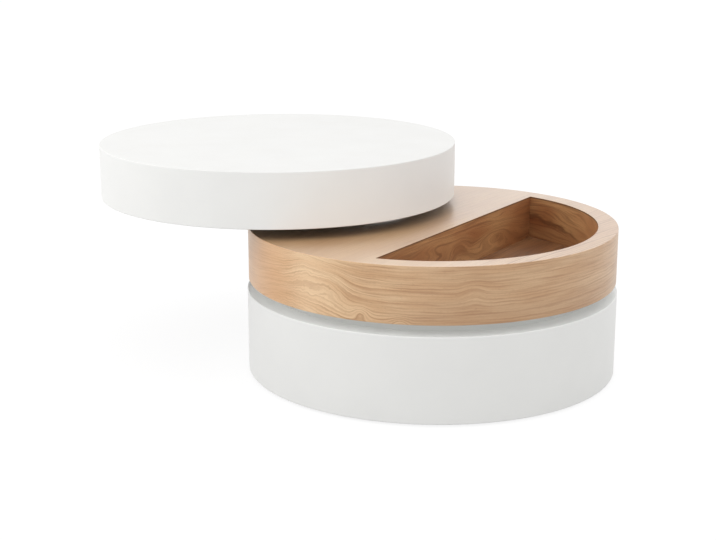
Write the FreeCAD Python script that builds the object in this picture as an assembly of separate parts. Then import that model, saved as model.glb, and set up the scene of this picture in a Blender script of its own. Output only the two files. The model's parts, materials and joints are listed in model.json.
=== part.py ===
import FreeCAD, Part
import math
import os

# Swivel coffee table, in millimetres.
# Three round drums stand on each other with a gap between them: a white base on glides, an oak drum with a
# D-shaped storage compartment, and a white top. A ball-bearing swivel unit stands in each gap, and a white plinth
# ring round the lower one closes the base's gap a little way in.
# The lower swivel turns the oak drum about the base's own axis. The upper swivel stands half way out on the
# closed side of the oak drum, so the top swings off the compartment. The top is drawn swung fully open.
# The origin is on the floor under the base's centre, +Z is up and +X points from the centre to the compartment.

# Stack of the table, from the floor up
glide_height = 4.0
base_height = 157.0
swivel_height = 20.0
drum_height = 103.0
top_height = 105.0

# Plan of the table
base_radius = 352.5
drum_radius = 350.0
top_radius = 355.0
upper_pivot_offset = 178.0  # from the drum's centre to the upper swivel's axis
edge_bevel = 1.0  # eased edge of the white drums

# Boards
base_bottom_thickness = 12.0
base_top_thickness = 18.0
base_hoop_wall = 15.0
drum_bottom_thickness = 15.0
drum_top_thickness = 15.0
top_bottom_thickness = 15.0
top_face_thickness = 18.0
top_hoop_wall = 15.0
rib_thickness = 15.0
pivot_block_thickness = 18.0
pivot_block_width = 260.0

# Plinth ring in the lower gap
plinth_inset = 34.0  # from the oak drum's side to the ring's face
plinth_wall = 16.0

# Storage compartment
rim_width = 37.5
compartment_chord = 60.0  # from the drum's centre to the straight wall's face
divider_thickness = 15.0
lining_thickness = 3.0
veneer_thickness = 0.6

# Drum ribs
drum_rib_offset = 145.0  # from the drum's centre line to a rib's middle

# Swivel unit
plate_radius = 120.0
plate_thickness = 2.5
ball_radius = 5.0
ball_circle_radius = 75.0
ball_count = 12
race_land = 3.0  # flat ring on each side of the ball groove
cage_thickness = 1.2
cage_radial_width = 16.0
hub_radius = 16.0
washer_radius = 14.0
washer_thickness = 2.0
rivet_radius = 6.0
rivet_head_radius = 10.0
rivet_head_thickness = 2.0
access_hole_radius = 6.0

# Fasteners
plate_fastener_circle = 106.0
plate_fastener_count = 4
bolt_radius = 3.0
bolt_head_radius = 5.0
bolt_head_height = 4.0
nut_across_flats = 10.0
nut_height = 5.0
screw_radius = 1.9
screw_head_radius = 3.8
screw_head_height = 2.2
screw_point_length = 3.0
drum_plate_screw_length = 13.0
top_plate_screw_length = 28.0
bottom_screw_length = 35.0
bottom_screw_count = 6

# Glides
glide_radius = 12.0
glide_inset = 42.5  # from the base's side to a rim glide's middle
glide_count = 4  # around the rim, besides the one in the middle
nail_radius = 1.2
nail_head_radius = 4.0
nail_head_height = 1.2
nail_length = 14.0
glide_floor_thickness = 1.6  # plastic under the nail's head

# Clearances
glue_gap = 0.1
rib_fit = 0.1
floor_fit = 0.3
plinth_clearance = 2.0  # between the plinth ring and the turning drum
race_clearance = 0.25
cage_clearance = 0.9
cage_pocket_clearance = 0.15
running_clearance = 0.05
axial_clearance = 0.1
hole_clearance = 0.25
thread_clearance = 0.05

# Heights worked out from the stack
base_low = glide_height
base_high = base_low + base_height
drum_low = base_high + swivel_height
drum_high = drum_low + drum_height
top_low = drum_high + swivel_height
top_high = top_low + top_height

# Axes of the two swivels and of the top
lower_axis = (0.0, 0.0)
upper_axis = (-upper_pivot_offset, 0.0)
top_axis = (-2 * upper_pivot_offset, 0.0)

# Radii and planes of the oak drum's shell and of the plinth ring under it
plinth_radius = drum_radius - plinth_inset
compartment_radius = drum_radius - rim_width
lining_radius = compartment_radius + lining_thickness
drum_core_radius = drum_radius - veneer_thickness
divider_face = compartment_chord - lining_thickness
divider_back = divider_face - divider_thickness
drum_floor = drum_low + drum_bottom_thickness
compartment_floor = drum_floor + lining_thickness
drum_core_high = drum_high - veneer_thickness
drum_ceiling = drum_core_high - drum_top_thickness


def vector(x, y, z):
    return FreeCAD.Vector(x, y, z)


def disc(radius, low, high, centre=(0.0, 0.0)):
    """Upright cylinder between two heights."""
    return Part.makeCylinder(radius, high - low, vector(centre[0], centre[1], low))


def ring(outer, inner, low, high, centre=(0.0, 0.0)):
    """Upright hoop between two heights."""
    return disc(outer, low, high, centre).cut(disc(inner, low, high, centre))


def board(x_low, x_high, y_low, y_high, low, high):
    """Square-edged board between its six planes."""
    return Part.makeBox(x_high - x_low, y_high - y_low, high - low, vector(x_low, y_low, low))


def turned(outline):
    """Solid of revolution about Z of a closed outline of (radius, height) corners."""
    corners = [vector(radius, 0, height) for radius, height in outline]
    face = Part.Face(Part.makePolygon(corners + corners[:1]))
    return face.revolve(vector(0, 0, 0), vector(0, 0, 1), 360)


def placed(shape, x, y, z):
    """Copy of a shape moved by an offset."""
    copy = shape.copy()
    copy.translate(vector(x, y, z))
    return copy


def turned_over(shape, height):
    """Copy of a shape turned upside down about the plane at a height."""
    copy = shape.copy()
    copy.rotate(vector(0, 0, height), vector(1, 0, 0), 180)
    return copy


def around(count, radius, centre=(0.0, 0.0), first=0.0):
    """Points spaced evenly round a circle, the first at an angle in degrees."""
    step = 360.0 / count
    angles = [math.radians(first + step * index) for index in range(count)]
    return [(centre[0] + radius * math.cos(a), centre[1] + radius * math.sin(a)) for a in angles]


def bevelled_disc(radius, low, high, centre, bevel_top):
    """Round panel whose outer edge is eased at the top or at the bottom."""
    if bevel_top:
        outline = [(0, low), (radius, low), (radius, high - edge_bevel), (radius - edge_bevel, high), (0, high)]
    else:
        outline = [(0, low), (radius - edge_bevel, low), (radius, low + edge_bevel), (radius, high), (0, high)]
    return placed(turned(outline), centre[0], centre[1], 0)


def save(name, solids):
    """Write one node, a single solid or a group of separate ones."""
    shape = solids[0] if len(solids) == 1 else Part.makeCompound(solids)
    shape.exportStep("parts/" + name + ".step")


# ---- Fasteners ----


def bolt(length):
    """Bolt that points up, its head's seat at z = 0."""
    return turned(
        [
            (0, -bolt_head_height),
            (bolt_head_radius, -bolt_head_height),
            (bolt_head_radius, 0),
            (bolt_radius, 0),
            (bolt_radius, length),
            (0, length),
        ]
    )


def nut():
    """Hexagon weld nut standing on z = 0."""
    corner = nut_across_flats / math.sqrt(3)
    points = [vector(x, y, 0) for x, y in around(6, corner)]
    block = Part.Face(Part.makePolygon(points + points[:1])).extrude(vector(0, 0, nut_height))
    return block.cut(disc(bolt_radius + thread_clearance, 0, nut_height))


def pan_screw(length, grow=0.0):
    """Pan-head wood screw that points up, its head's seat at z = 0."""
    return turned(
        [
            (0, -screw_head_height),
            (screw_head_radius, -screw_head_height),
            (screw_head_radius, 0),
            (screw_radius + grow, 0),
            (screw_radius + grow, length - screw_point_length),
            (0, length + grow),
        ]
    )


def countersunk_screw(length, grow=0.0):
    """Countersunk wood screw that points up, its head's flat face at z = 0."""
    return turned(
        [
            (0, 0),
            (screw_head_radius + grow, 0),
            (screw_radius + grow, screw_head_height),
            (screw_radius + grow, length - screw_point_length),
            (0, length + grow),
        ]
    )


# ---- Swivel unit: its bottom plate lies on z = 0 and its top plate ends at swivel_height ----

swivel_middle = swivel_height / 2
cage_slot = cage_thickness + 2 * cage_clearance
groove_radius = ball_radius + race_clearance
hub_top = swivel_middle - washer_thickness / 2


def plate_skin(drop):
    """Race side of the bottom plate's section, moved down by a drop, as edges from the bore to the rim.

    The sheet runs from a raised hub down to a flat web, up to a land, round the groove, which is an arc about the
    ball's centre, over the second land and down to the flange. The slopes between them stand at 45 degrees.
    """
    land_height = swivel_middle - cage_slot / 2
    groove_half_width = math.sqrt(groove_radius**2 - (cage_slot / 2) ** 2)
    land_reach = groove_half_width + race_land
    rise = land_height - plate_thickness
    inner = [
        (rivet_radius + running_clearance, hub_top),
        (hub_radius, hub_top),
        (hub_radius + hub_top - plate_thickness, plate_thickness),
        (ball_circle_radius - land_reach - rise, plate_thickness),
        (ball_circle_radius - land_reach, land_height),
        (ball_circle_radius - groove_half_width, land_height),
    ]
    outer = [
        (ball_circle_radius + groove_half_width, land_height),
        (ball_circle_radius + land_reach, land_height),
        (ball_circle_radius + land_reach + rise, plate_thickness),
        (plate_radius, plate_thickness),
    ]
    inner_points = [vector(radius, 0, height - drop) for radius, height in inner]
    outer_points = [vector(radius, 0, height - drop) for radius, height in outer]
    groove_bottom = vector(ball_circle_radius, 0, swivel_middle - groove_radius - drop)
    groove = Part.Arc(inner_points[-1], groove_bottom, outer_points[0]).toShape()
    return Part.makePolygon(inner_points).Edges + [groove] + Part.makePolygon(outer_points).Edges


def pressed_plate():
    """Swivel plate pressed from one sheet, with its panel side at z = 0."""
    race_side = plate_skin(0.0)
    panel_side = plate_skin(plate_thickness)
    bore = Part.makeLine(race_side[0].Vertexes[0].Point, panel_side[0].Vertexes[0].Point)
    rim = Part.makeLine(race_side[-1].Vertexes[-1].Point, panel_side[-1].Vertexes[-1].Point)
    section = Part.Wire(Part.sortEdges(race_side + [rim] + panel_side + [bore])[0])
    return Part.Face(section).revolve(vector(0, 0, 0), vector(0, 0, 1), 360)


def plate_fastener_points(centre=(0.0, 0.0)):
    """Places of the fasteners in a swivel plate's flange."""
    return around(plate_fastener_count, plate_fastener_circle, centre, 180.0 / plate_fastener_count)


def swivel_bottom_plate():
    """Bottom plate, with bolt holes and one hole that a screwdriver passes through to the top plate's screws."""
    plate = pressed_plate()
    for x, y in plate_fastener_points():
        plate = plate.cut(disc(bolt_radius + hole_clearance, 0, plate_thickness, (x, y)))
    return plate.cut(disc(access_hole_radius, 0, plate_thickness, (plate_fastener_circle, 0)))


def swivel_top_plate():
    """Top plate, the same pressing upside down, with screw holes."""
    plate = turned_over(pressed_plate(), swivel_middle)
    for x, y in plate_fastener_points():
        plate = plate.cut(disc(screw_radius + hole_clearance, swivel_height - plate_thickness, swivel_height, (x, y)))
    return plate


def swivel_rivet():
    """Headed pin that holds the two plates together; the top plate's hub turns on it."""
    low_seat = hub_top - plate_thickness
    high_seat = swivel_height - low_seat + axial_clearance
    return turned(
        [
            (0, low_seat - rivet_head_thickness),
            (rivet_head_radius, low_seat - rivet_head_thickness),
            (rivet_head_radius, low_seat),
            (rivet_radius, low_seat),
            (rivet_radius, high_seat),
            (rivet_head_radius, high_seat),
            (rivet_head_radius, high_seat + rivet_head_thickness),
            (0, high_seat + rivet_head_thickness),
        ]
    )


def swivel_washer():
    """Nylon washer between the two hubs."""
    return ring(washer_radius, rivet_radius + running_clearance, hub_top, hub_top + washer_thickness - axial_clearance)


def ball_cage():
    """Flat ring with a round pocket for each ball."""
    low = swivel_middle - cage_thickness / 2
    high = swivel_middle + cage_thickness / 2
    half_width = cage_radial_width / 2
    cage = ring(ball_circle_radius + half_width, ball_circle_radius - half_width, low, high)
    for point in around(ball_count, ball_circle_radius):
        cage = cage.cut(disc(ball_radius + cage_pocket_clearance, low, high, point))
    return cage


def balls():
    """Ring of steel balls in the cage's pockets."""
    return [Part.makeSphere(ball_radius, vector(x, y, swivel_middle)) for x, y in around(ball_count, ball_circle_radius)]


def save_swivel(level, axis, low, grip, screw_length):
    """Write a swivel unit that stands at a height; grip is the wood's thickness under its bottom plate."""
    x, y = axis
    high_seat = swivel_height - plate_thickness
    bolt_length = grip + plate_thickness + nut_height
    fastener_points = plate_fastener_points()
    save(level + "_swivel_bottom_plate", [placed(swivel_bottom_plate(), x, y, low)])
    save(level + "_swivel_top_plate", [placed(swivel_top_plate(), x, y, low)])
    save(level + "_swivel_rivet", [placed(swivel_rivet(), x, y, low)])
    save(level + "_swivel_washer", [placed(swivel_washer(), x, y, low)])
    save(level + "_ball_cage", [placed(ball_cage(), x, y, low)])
    save(level + "_swivel_balls", [placed(ball, x, y, low) for ball in balls()])
    save(level + "_plate_bolts", [placed(bolt(bolt_length), x + u, y + v, low - grip) for u, v in fastener_points])
    save(level + "_plate_nuts", [placed(nut(), x + u, y + v, low + plate_thickness) for u, v in fastener_points])
    screws = [placed(pan_screw(screw_length), x + u, y + v, low + high_seat) for u, v in fastener_points]
    save(level + "_plate_screws", screws)


def bolted(shape, axis, seat, grip):
    """Shape drilled for the bolts of a swivel that stands on a seat above it."""
    for x, y in plate_fastener_points(axis):
        shape = shape.cut(disc(bolt_radius + hole_clearance, seat - grip, seat, (x, y)))
    return shape


def screwed(shape, axis, seat, length):
    """Shape with pilot holes for the screws of a swivel whose top plate's race side is at a height."""
    for x, y in plate_fastener_points(axis):
        shape = shape.cut(placed(pan_screw(length, thread_clearance), x, y, seat))
    return shape


def pinned(shape, points, low):
    """Shape drilled for countersunk screws that come up from a height."""
    for x, y in points:
        shape = shape.cut(placed(countersunk_screw(bottom_screw_length, thread_clearance), x, y, low))
    return shape


def pivot_block(axis, low, half_depth, hoop_inner, hoop_centre):
    """Reinforcing board about a swivel's axis, trimmed where it meets the hoop that it stands in."""
    half_width = pivot_block_width / 2
    x, y = axis
    high = low + pivot_block_thickness
    block = board(x - half_width, x + half_width, y - half_depth, y + half_depth, low, high)
    return block.common(disc(hoop_inner - glue_gap, low, high, hoop_centre))


def crossed_ribs(hoop_inner, low, high, centre, block):
    """Two boards halved into each other inside a hoop, cut out round the pivot block."""
    half_length = math.sqrt(hoop_inner**2 - (rib_thickness / 2) ** 2) - glue_gap
    half = rib_thickness / 2
    slot = half + rib_fit
    middle = (low + high) / 2
    x, y = centre
    long_rib = board(x - half_length, x + half_length, y - half, y + half, low, high)
    cross_rib = board(x - half, x + half, y - half_length, y + half_length, low, high)
    long_rib = long_rib.cut(board(x - slot, x + slot, y - slot, y + slot, middle, high))
    cross_rib = cross_rib.cut(board(x - slot, x + slot, y - slot, y + slot, low, middle))
    return long_rib.cut(block), cross_rib.cut(block)


# ---- Base ----

base_panel_high = base_low + base_bottom_thickness
base_panel_low = base_high - base_top_thickness
base_screw_circle = base_radius - base_hoop_wall / 2
base_grip = base_top_thickness + pivot_block_thickness


def glide_points():
    """Glides under the rim and one in the middle."""
    return [(0.0, 0.0)] + around(glide_count, base_radius - glide_inset)


def nail(grow=0.0):
    """Nail that points up, its head's underside at z = 0."""
    return turned(
        [
            (0, 0),
            (nail_head_radius + grow, 0),
            (nail_head_radius + grow, nail_head_height + grow),
            (nail_radius + grow, nail_head_height + grow),
            (nail_radius + grow, nail_length - 2 * nail_radius),
            (0, nail_length + grow),
        ]
    )


def glide():
    """Round plastic glide moulded round the nail's head, with an eased lower edge."""
    pad = turned(
        [
            (0, 0),
            (glide_radius - edge_bevel, 0),
            (glide_radius, edge_bevel),
            (glide_radius, glide_height),
            (0, glide_height),
        ]
    )
    return pad.cut(placed(nail(thread_clearance), 0, 0, glide_floor_thickness))


def save_base():
    screw_points = around(bottom_screw_count, base_screw_circle, first=180.0 / bottom_screw_count)
    bottom = bevelled_disc(base_radius, base_low, base_panel_high, lower_axis, False)
    bottom = pinned(bottom, screw_points, base_low)
    for x, y in glide_points():
        bottom = bottom.cut(placed(nail(thread_clearance), x, y, glide_floor_thickness))
    hoop_inner = base_radius - base_hoop_wall
    hoop = ring(base_radius, hoop_inner, base_panel_high, base_panel_low)
    top = bevelled_disc(base_radius, base_panel_low, base_high, lower_axis, True)
    block_low = base_panel_low - pivot_block_thickness
    block = pivot_block(lower_axis, block_low, pivot_block_width / 2, hoop_inner, lower_axis)
    ribs = crossed_ribs(hoop_inner, base_panel_high, base_panel_low, lower_axis, block)
    save("base_bottom_panel", [bottom])
    save("base_hoop", [pinned(hoop, screw_points, base_low)])
    save("base_top_panel", [bolted(top, lower_axis, base_high, base_grip)])
    save("base_plinth_ring", [ring(plinth_radius, plinth_radius - plinth_wall, base_high, drum_low - plinth_clearance)])
    save("base_pivot_block", [bolted(block, lower_axis, base_high, base_grip)])
    save("base_long_rib", [ribs[0]])
    save("base_cross_rib", [ribs[1]])
    save("base_glides", [placed(glide(), x, y, 0) for x, y in glide_points()])
    save("glide_nails", [placed(nail(), x, y, glide_floor_thickness) for x, y in glide_points()])
    screw = countersunk_screw(bottom_screw_length)
    save("base_panel_screws", [placed(screw, x, y, base_low) for x, y in screw_points])


# ---- Oak drum ----

drum_grip = pivot_block_thickness + drum_top_thickness + veneer_thickness


def far_side(shape, plane):
    """Part of a drum piece that lies past an upright plane, towards the compartment."""
    reach = drum_radius + plane
    return shape.common(board(plane, plane + reach, -reach, reach, drum_low, drum_high))


def drum_rib(side):
    """Rib of the closed side, from the hoop to the divider."""
    y = side * drum_rib_offset
    outer_y = drum_rib_offset + rib_thickness / 2
    x_low = -math.sqrt(lining_radius**2 - outer_y**2) + glue_gap
    return board(x_low, divider_back, y - rib_thickness / 2, y + rib_thickness / 2, drum_floor, drum_ceiling)


def save_drum():
    screw_circle = (drum_core_radius + lining_radius) / 2
    screw_points = around(bottom_screw_count, screw_circle, first=180.0 / bottom_screw_count)
    swivel_seat = drum_low - plate_thickness
    bottom = pinned(disc(drum_core_radius, drum_low, drum_floor), screw_points, drum_low)
    hoop = ring(drum_core_radius, lining_radius, drum_floor, drum_ceiling)
    cut_out = far_side(disc(lining_radius, drum_ceiling, drum_core_high), divider_face)
    top = disc(drum_core_radius, drum_ceiling, drum_core_high).cut(cut_out)
    mouth = far_side(disc(compartment_radius, drum_core_high, drum_high), compartment_chord)
    top_veneer = disc(drum_radius, drum_core_high, drum_high).cut(mouth)
    divider = disc(lining_radius - glue_gap, drum_floor, drum_ceiling).common(
        board(divider_back, divider_face, -lining_radius, lining_radius, drum_floor, drum_ceiling)
    )
    facing = disc(lining_radius - glue_gap, drum_floor, drum_core_high).common(
        board(divider_face, compartment_chord, -lining_radius, lining_radius, drum_floor, drum_core_high)
    )
    liner = ring(lining_radius - glue_gap, compartment_radius, drum_floor, drum_core_high)
    floor = far_side(disc(compartment_radius - floor_fit, drum_floor, compartment_floor), compartment_chord + floor_fit)
    block_low = drum_ceiling - pivot_block_thickness
    block = pivot_block(upper_axis, block_low, drum_rib_offset - rib_thickness / 2, lining_radius, lower_axis)
    save("drum_bottom_panel", [screwed(bottom, lower_axis, swivel_seat, drum_plate_screw_length)])
    save("drum_hoop", [pinned(hoop, screw_points, drum_low)])
    save("drum_top_panel", [bolted(top, upper_axis, drum_high, drum_grip)])
    save("drum_top_veneer", [bolted(top_veneer, upper_axis, drum_high, drum_grip)])
    save("drum_side_veneer", [ring(drum_radius, drum_core_radius + glue_gap, drum_low, drum_core_high)])
    save("drum_divider", [divider])
    save("compartment_facing", [facing])
    save("compartment_liner", [far_side(liner, compartment_chord)])
    save("compartment_floor", [floor])
    save("drum_left_rib", [drum_rib(1)])
    save("drum_right_rib", [drum_rib(-1)])
    save("drum_pivot_block", [bolted(block, upper_axis, drum_high, drum_grip)])
    screw = countersunk_screw(bottom_screw_length)
    save("drum_panel_screws", [placed(screw, x, y, drum_low) for x, y in screw_points])


# ---- Top ----


def save_top():
    inside_low = top_low + top_bottom_thickness
    inside_high = top_high - top_face_thickness
    hoop_inner = top_radius - top_hoop_wall
    swivel_seat = top_low - plate_thickness
    bottom = bevelled_disc(top_radius, top_low, inside_low, top_axis, False)
    block = pivot_block(upper_axis, inside_low, pivot_block_width / 2, hoop_inner, top_axis)
    ribs = crossed_ribs(hoop_inner, inside_low, inside_high, top_axis, block)
    save("top_bottom_panel", [screwed(bottom, upper_axis, swivel_seat, top_plate_screw_length)])
    save("top_hoop", [ring(top_radius, hoop_inner, inside_low, inside_high, top_axis)])
    save("top_face_panel", [bevelled_disc(top_radius, inside_high, top_high, top_axis, True)])
    save("top_pivot_block", [screwed(block, upper_axis, swivel_seat, top_plate_screw_length)])
    save("top_long_rib", [ribs[0]])
    save("top_cross_rib", [ribs[1]])


os.makedirs("parts", exist_ok=True)
save_base()
save_swivel("lower", lower_axis, base_high, base_grip, drum_plate_screw_length)
save_drum()
save_swivel("upper", upper_axis, drum_high, drum_grip, top_plate_screw_length)
save_top()
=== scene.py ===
import json
import math

import bpy
import numpy as np
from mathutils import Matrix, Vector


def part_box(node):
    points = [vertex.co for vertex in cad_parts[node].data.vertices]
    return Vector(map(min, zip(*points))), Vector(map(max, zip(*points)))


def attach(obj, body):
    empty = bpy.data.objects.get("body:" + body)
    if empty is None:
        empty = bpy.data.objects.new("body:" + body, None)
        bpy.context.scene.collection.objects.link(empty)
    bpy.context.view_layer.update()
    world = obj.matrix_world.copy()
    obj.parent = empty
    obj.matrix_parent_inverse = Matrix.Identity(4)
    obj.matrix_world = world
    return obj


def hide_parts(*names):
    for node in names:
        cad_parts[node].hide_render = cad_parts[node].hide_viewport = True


# Looks of the swivel coffee table, in metres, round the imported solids.
# The white drums are skins worked out board by board. The oak drum has a veneered face, side and compartment
# wall. What stays inside keeps its solids, with finishes of their own.

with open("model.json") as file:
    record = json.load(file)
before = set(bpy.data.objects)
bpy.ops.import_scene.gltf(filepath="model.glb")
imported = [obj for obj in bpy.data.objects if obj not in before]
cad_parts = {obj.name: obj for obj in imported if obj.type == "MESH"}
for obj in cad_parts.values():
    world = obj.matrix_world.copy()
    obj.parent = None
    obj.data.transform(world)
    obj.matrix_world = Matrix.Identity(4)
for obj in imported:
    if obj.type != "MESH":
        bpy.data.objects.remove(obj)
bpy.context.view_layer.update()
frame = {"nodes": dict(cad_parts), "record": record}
nodes = frame["nodes"]

# ---- Sizes that the looks add to the solids ----

white_edge = 0.0015  # rounding of the lacquered edges
oak_edge = 0.0012  # rounding of the oak drum's upper edge
veneer_edge = 0.0004  # rounding of a bare veneer edge
hold = 0.0005  # width of the band that keeps a flat face flat next to a rounding
screw_proud = 0.00015  # how far the countersunk heads stand out of the board

# ---- Sizes of the solids that their boxes don't tell ----

side_veneer = 0.0005  # thickness of the veneer round the oak drum
lining_wall = 0.0029  # thickness of the compartment's curved lining
floor_fit = 0.0003  # play between the compartment's floor and its lining
hoop_wall = 0.015  # thickness of the white drums' hoops
plinth_wall = 0.016  # thickness of the ring in the lower gap

# ---- How finely the surfaces are divided ----

around_steps = 288  # facets of a full circle
arc_columns, chord_columns = 150, 190  # facets of the mouth's arc and of its straight side
face_steps = 4  # rings of facets over the oak drum's flat face
lining_columns = 160  # columns of points of the curved lining
screw_steps = 48  # facets round a screw
cross_rings = 13  # rings of points over the cross of a screw's head
edge_steps = 6  # facets of a rounding
veneer_steps = 4  # facets of a bare veneer edge
side_steps = 3  # facets of the part of the oak's rounding that the side veneer carries
same_point = 1e-9  # points closer than this are one
sharp_angle = 32  # degrees between two facets above which their edge stays sharp


def round_of(node):
    """Centre's X, radius, lowest and highest Z of an upright round node that stands on the line Y = 0.

    The centre is rounded to 0.1 mm, as a facet can cut a circle's outermost point off on one side.
    """
    low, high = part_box(node)
    return round((low.x + high.x) / 2, 4), (high.y - low.y) / 2, low.z, high.z


# ---- Shapes ----


def rounding(radius_at, height_at, size, first, last, steps=edge_steps):
    """Rounded edge in the section plane: an arc about (radius_at, height_at), its two angles in degrees."""
    angle = np.radians(np.linspace(first, last, steps + 1))
    return np.stack([radius_at + size * np.cos(angle), height_at + size * np.sin(angle)], 1)


def section(*parts):
    """Section line made of single (radius, height) points and of rounded edges, in order."""
    return np.concatenate([np.atleast_2d(part) for part in parts])


def swept(line, centre_x, steps=around_steps):
    """Points of a section carried round an upright axis: (centre + r cos a, r sin a, z), rows by columns."""
    angle = np.linspace(-math.pi, math.pi, steps, endpoint=False)
    radius, height = line[:, :1], line[:, 1:]
    flat = np.ones_like(angle)
    return np.stack([centre_x + radius * np.cos(angle), radius * np.sin(angle), height * flat], 2)


def sheet_faces(number, rows_close, columns_close, ends):
    """Faces of a grid of point numbers, and the (row, column) of each of their corners.

    Rows and columns run on past a seam that closes. Where two corners of a face share a point, one goes. ends
    closes the two open ends of a bar with a face each.
    """
    rows, columns = number.shape
    row, column = np.meshgrid(
        np.arange(rows if rows_close else rows - 1),
        np.arange(columns if columns_close else columns - 1),
        indexing="ij",
    )
    corner_rows = np.stack([row, row, row + 1, row + 1], -1).reshape(-1, 4)
    corner_columns = np.stack([column, column + 1, column + 1, column], -1).reshape(-1, 4)
    quads = number[corner_rows % rows, corner_columns % columns]
    faces, corners = [], []
    for quad, at_row, at_column in zip(quads.tolist(), corner_rows.tolist(), corner_columns.tolist()):
        kept = [k for k in range(4) if quad[k] != quad[k - 1]]
        faces.append([quad[k] for k in kept])
        corners.extend((at_row[k], at_column[k]) for k in kept)
    if ends:
        faces.append(number[:, 0].tolist())
        corners.extend((k, 0) for k in range(rows))
        faces.append(number[::-1, -1].tolist())
        corners.extend((k, columns - 1) for k in range(rows - 1, -1, -1))
    return faces, corners


def piece(
    name, grid, body, stands_for, material,
    chart=None, rows_close=False, columns_close=True, ends=False, places=((0.0, 0.0),),
):
    """Piece whose surface is given as a grid of points, rows by columns.

    It rides on the body and replaces the nodes that it stands for. A row whose points all meet becomes a
    pole. chart(row, column) gives the grain coordinates of a corner, where row and column run on past a
    closing seam, so that the figure doesn't fold back there. The surface is repeated at each of the places,
    moved by their x and y.
    """
    rows, columns = grid.shape[:2]
    number = np.arange(rows * columns).reshape(rows, columns)
    poles = np.ptp(grid, axis=1).max(1) < same_point
    number[poles] = number[poles, :1]
    faces, corners = sheet_faces(number, rows_close, columns_close, ends)
    used, compact = np.unique(np.concatenate(faces), return_inverse=True)
    starts = np.cumsum([0] + [len(face) for face in faces])
    points, all_points, all_faces = grid.reshape(-1, 3)[used], [], []
    for k, (x, y) in enumerate(places):
        all_points.extend((points + (x, y, 0.0)).tolist())
        shifted = compact + k * len(points)
        all_faces.extend(shifted[a:b].tolist() for a, b in zip(starts[:-1], starts[1:]))
    mesh = bpy.data.meshes.new(name)
    mesh.from_pydata(all_points, [], all_faces)
    if chart:
        layer = mesh.uv_layers.new(name="grain")
        corner = np.array(corners, float)
        layer.uv.foreach_set("vector", chart(corner[:, 0], corner[:, 1]).astype(np.float32).ravel())
    mesh.shade_smooth()
    mesh.set_sharp_from_angle(angle=math.radians(sharp_angle))
    mesh.materials.append(material)
    made = bpy.data.objects.new(name, mesh)
    bpy.context.scene.collection.objects.link(made)
    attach(made, body)
    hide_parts(*stands_for)


def face_board(name, node, body, material):
    """Round board with a rounded upper edge: a section carried round the axis, from pole to pole."""
    centre, radius, low, high = round_of(node)
    inner = radius - white_edge
    line = section(
        (0, low),
        (radius, low),
        (radius, high - white_edge - hold),
        rounding(inner, high - white_edge, white_edge, 0, 90),
        (inner - hold, high),
        (inner / 2, high),
        (0, high),
    )
    piece(name, swept(line, centre), body, [node], material)


def under_board(name, node, body, material):
    """Round board with a rounded lower edge: a section carried round the axis, from pole to pole."""
    centre, radius, low, high = round_of(node)
    inner = radius - white_edge
    line = section(
        (0, low),
        (inner / 2, low),
        (inner - hold, low),
        rounding(inner, low + white_edge, white_edge, -90, 0),
        (radius, low + white_edge + hold),
        (radius, high),
        (0, high),
    )
    piece(name, swept(line, centre), body, [node], material)


def side_hoop(name, node, wall, body, material):
    """Straight hoop between two boards: a section with four square corners carried round the axis."""
    centre, radius, low, high = round_of(node)
    line = section((radius - wall, low), (radius, low), (radius, high), (radius - wall, high))
    piece(name, swept(line, centre), body, [node], material, rows_close=True)


def seam_angle(seam_height):
    """Angle in degrees at which the seam between side and face veneer meets the oak drum's upper rounding."""
    face_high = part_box("drum_top_veneer")[1].z
    return math.degrees(math.asin((seam_height - face_high + oak_edge) / oak_edge))


def oak_side(material):
    """Veneer round the oak drum: a thin section with eased edges carried round the axis.

    The grain chart is the arc's length along the side and the height above its lower edge.
    """
    _, radius, low, high = round_of("drum_side_veneer")
    face_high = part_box("drum_top_veneer")[1].z
    inner = radius - side_veneer
    line = section(
        (inner, low),
        rounding(radius - veneer_edge, low + veneer_edge, veneer_edge, -90, 0, veneer_steps),
        (radius, low + veneer_edge + hold),
        (radius, face_high - oak_edge - hold),
        rounding(radius - oak_edge, face_high - oak_edge, oak_edge, 0, seam_angle(high), side_steps),
        (inner, high),
    )
    heights = np.append(line[:, 1], line[0, 1]) - low

    def chart(row, column):
        arc = (column / around_steps * 2 - 1) * math.pi * radius
        return np.stack([arc, heights[row.astype(int)]], 1)

    piece(
        "oak_drum_side", swept(line, 0.0), "drum", ["drum_side_veneer"], material, chart,
        rows_close=True,
    )


mouth_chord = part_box("compartment_facing")[1].x
mouth_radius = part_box("compartment_floor")[1].x + floor_fit
mouth_corner = math.acos(mouth_chord / mouth_radius)


def mouth_outline(inset):
    """Outline of the compartment's mouth, moved into the wood: its arc, then its straight side, as (x, y)."""
    radius = mouth_radius + inset
    chord = mouth_chord - inset
    corner = math.acos(chord / radius)
    angle = np.linspace(-corner, corner, arc_columns, endpoint=False)
    side = np.linspace(1, -1, chord_columns, endpoint=False) * radius * math.sin(corner)
    arc = np.stack([radius * np.cos(angle), radius * np.sin(angle)], 1)
    return np.concatenate([arc, np.stack([np.full_like(side, chord), side], 1)])


def rim_outline(radius):
    """Outline of the drum: a circle whose points face those of the mouth's arc, then of its straight side."""
    front = np.linspace(-mouth_corner, mouth_corner, arc_columns, endpoint=False)
    back = np.linspace(mouth_corner, 2 * math.pi - mouth_corner, chord_columns, endpoint=False)
    angle = np.concatenate([front, back])
    return radius * np.stack([np.cos(angle), np.sin(angle)], 1)


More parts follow.
